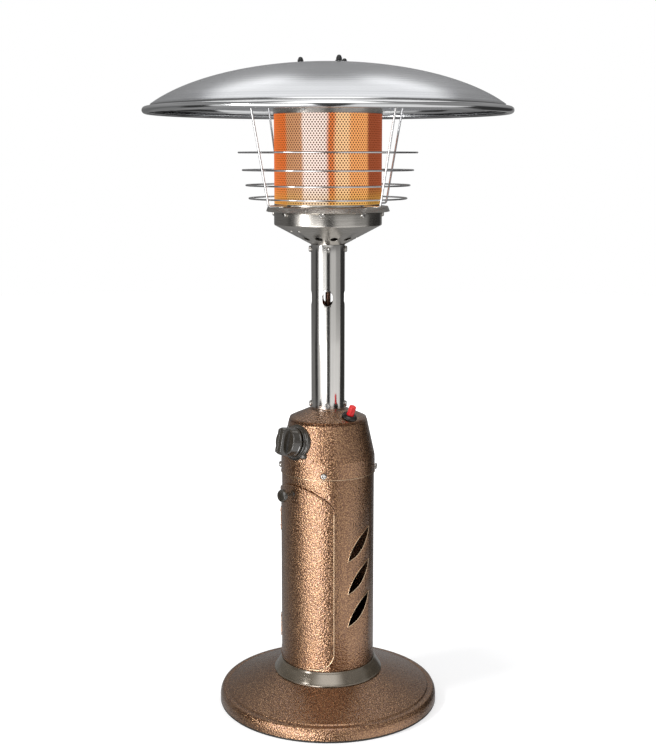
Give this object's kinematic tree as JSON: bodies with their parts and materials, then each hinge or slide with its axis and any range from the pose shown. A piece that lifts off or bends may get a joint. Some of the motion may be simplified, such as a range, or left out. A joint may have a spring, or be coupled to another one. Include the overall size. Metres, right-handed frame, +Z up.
{
  "type": "tabletop patio heater",
  "caption": "Gas patio heater for a tabletop: weighted round base, bottle housing with door, post, perforated emitter in a wire guard and a domed reflector.",
  "frame": {"origin": "centre of the base on the table", "axes": "+Z up the post, -Y out of the door and the gas knob, +X to the igniter's side"},
  "size_m": [0.533, 0.533, 0.9714],
  "materials": {
    "hammered_bronze": "hammered bronze powder coat",
    "edging_rubber": "matt",
    "ballast_iron": "rough",
    "black_sheet": "satin black",
    "zinc_steel": "zinc plated",
    "foot_plastic": "satin dark bronze",
    "pull_plastic": "dark bronze",
    "bright_screws": "bright plated",
    "knob_plastic": "dark brown, moulded",
    "brass": "machined",
    "regulator_casting": "die cast",
    "switch_plastic": "moulded black",
    "button_red": "moulded red",
    "lead_jacket": "silicone jacket",
    "post_steel": "lengthwise brushed stainless",
    "burner_steel": "turned stainless",
    "copper_pipe": "drawn copper",
    "ceramic": "glazed ceramic",
    "emitter_steel": "perforated, heated",
    "spun_aluminium": "spun, brushed in circles",
    "black_nuts": "black",
    "guard_wire": "bright wire"
  },
  "bodies": {
    "heater": {"base_dish": "hammered_bronze", "housing_shell": "hammered_bronze", "control_housing": "hammered_bronze", "shoulder_cap": "hammered_bronze", "hinge_fixed_leaves": "hammered_bronze", "base_edging": "edging_rubber", "base_weight": "ballast_iron", "base_cover": "black_sheet", "housing_floor": "black_sheet", "base_bolts": "zinc_steel", "base_nuts": "zinc_steel", "deck_plate": "zinc_steel", "hinge_pins": "zinc_steel", "stud_nuts": "zinc_steel", "reflector_studs": "zinc_steel", "valve_bonnet": "zinc_steel", "foot_ring": "foot_plastic", "housing_screws": "bright_screws", "bezel_screws": "bright_screws", "post_screws": "bright_screws", "bowl_screws": "bright_screws", "screen_screws": "bright_screws", "knob_bezel": "knob_plastic", "valve_body": "brass", "regulator_inlet": "brass", "regulator_nut": "brass", "orifice": "brass", "regulator": "regulator_casting", "tilt_switch": "switch_plastic", "igniter_barrel": "switch_plastic", "igniter_nut": "switch_plastic", "igniter_lead": "lead_jacket", "post": "post_steel", "post_socket": "post_steel", "burner_bowl": "burner_steel", "guard_plate": "burner_steel", "burner_head": "burner_steel", "mixer_tube": "burner_steel", "screen_cap": "burner_steel", "gas_tube": "copper_pipe", "thermocouple": "copper_pipe", "spark_electrode": "ceramic", "emitter_screen": "emitter_steel", "reflector": "spun_aluminium", "dome_nuts": "black_nuts", "dome_washers": "black_nuts", "guard_ring_1": "guard_wire", "guard_ring_2": "guard_wire", "guard_ring_3": "guard_wire", "guard_ring_4": "guard_wire", "guard_stays": "guard_wire"},
    "door": {"access_door": "hammered_bronze", "hinge_door_leaves": "hammered_bronze"},
    "latch": {"latch_pull": "pull_plastic", "latch_tongue": "zinc_steel", "latch_nut": "zinc_steel"},
    "valve_plug": {"valve_plug": "brass"},
    "gas_knob": {"control_knob": "knob_plastic", "valve_stem": "brass"},
    "igniter_button": {"igniter_button": "button_red"}
  },
  "joints": [
    {"name": "door_hinge", "type": "hinge", "parent": "heater", "child": "door", "pos_m": [-0.06279, -0.03625, 0.2], "axis": [0, 0, -1], "range_deg": [0, 110]},
    {"name": "latch_turn", "type": "hinge", "parent": "door", "child": "latch", "pos_m": [0, -0.0717, 0.3385], "axis": [0, -1, 0], "range_deg": [0, 90]},
    {"name": "valve_turn", "type": "hinge", "parent": "heater", "child": "valve_plug", "pos_m": [0, -0.06484, 0.415], "axis": [0, -0.9761, 0.2175], "range_deg": [0, 180]},
    {"name": "knob_push", "type": "slide", "parent": "valve_plug", "child": "gas_knob", "axis": [0, 0.9761, -0.2175], "range_m": [0, 0.003], "stiffness_N_per_m": 1200, "springref_m": -0.003},
    {"name": "igniter_press", "type": "slide", "parent": "heater", "child": "igniter_button", "axis": [-0.4083, 0, -0.9129], "range_m": [0, 0.004], "stiffness_N_per_m": 2500, "springref_m": -0.002}
  ]
}
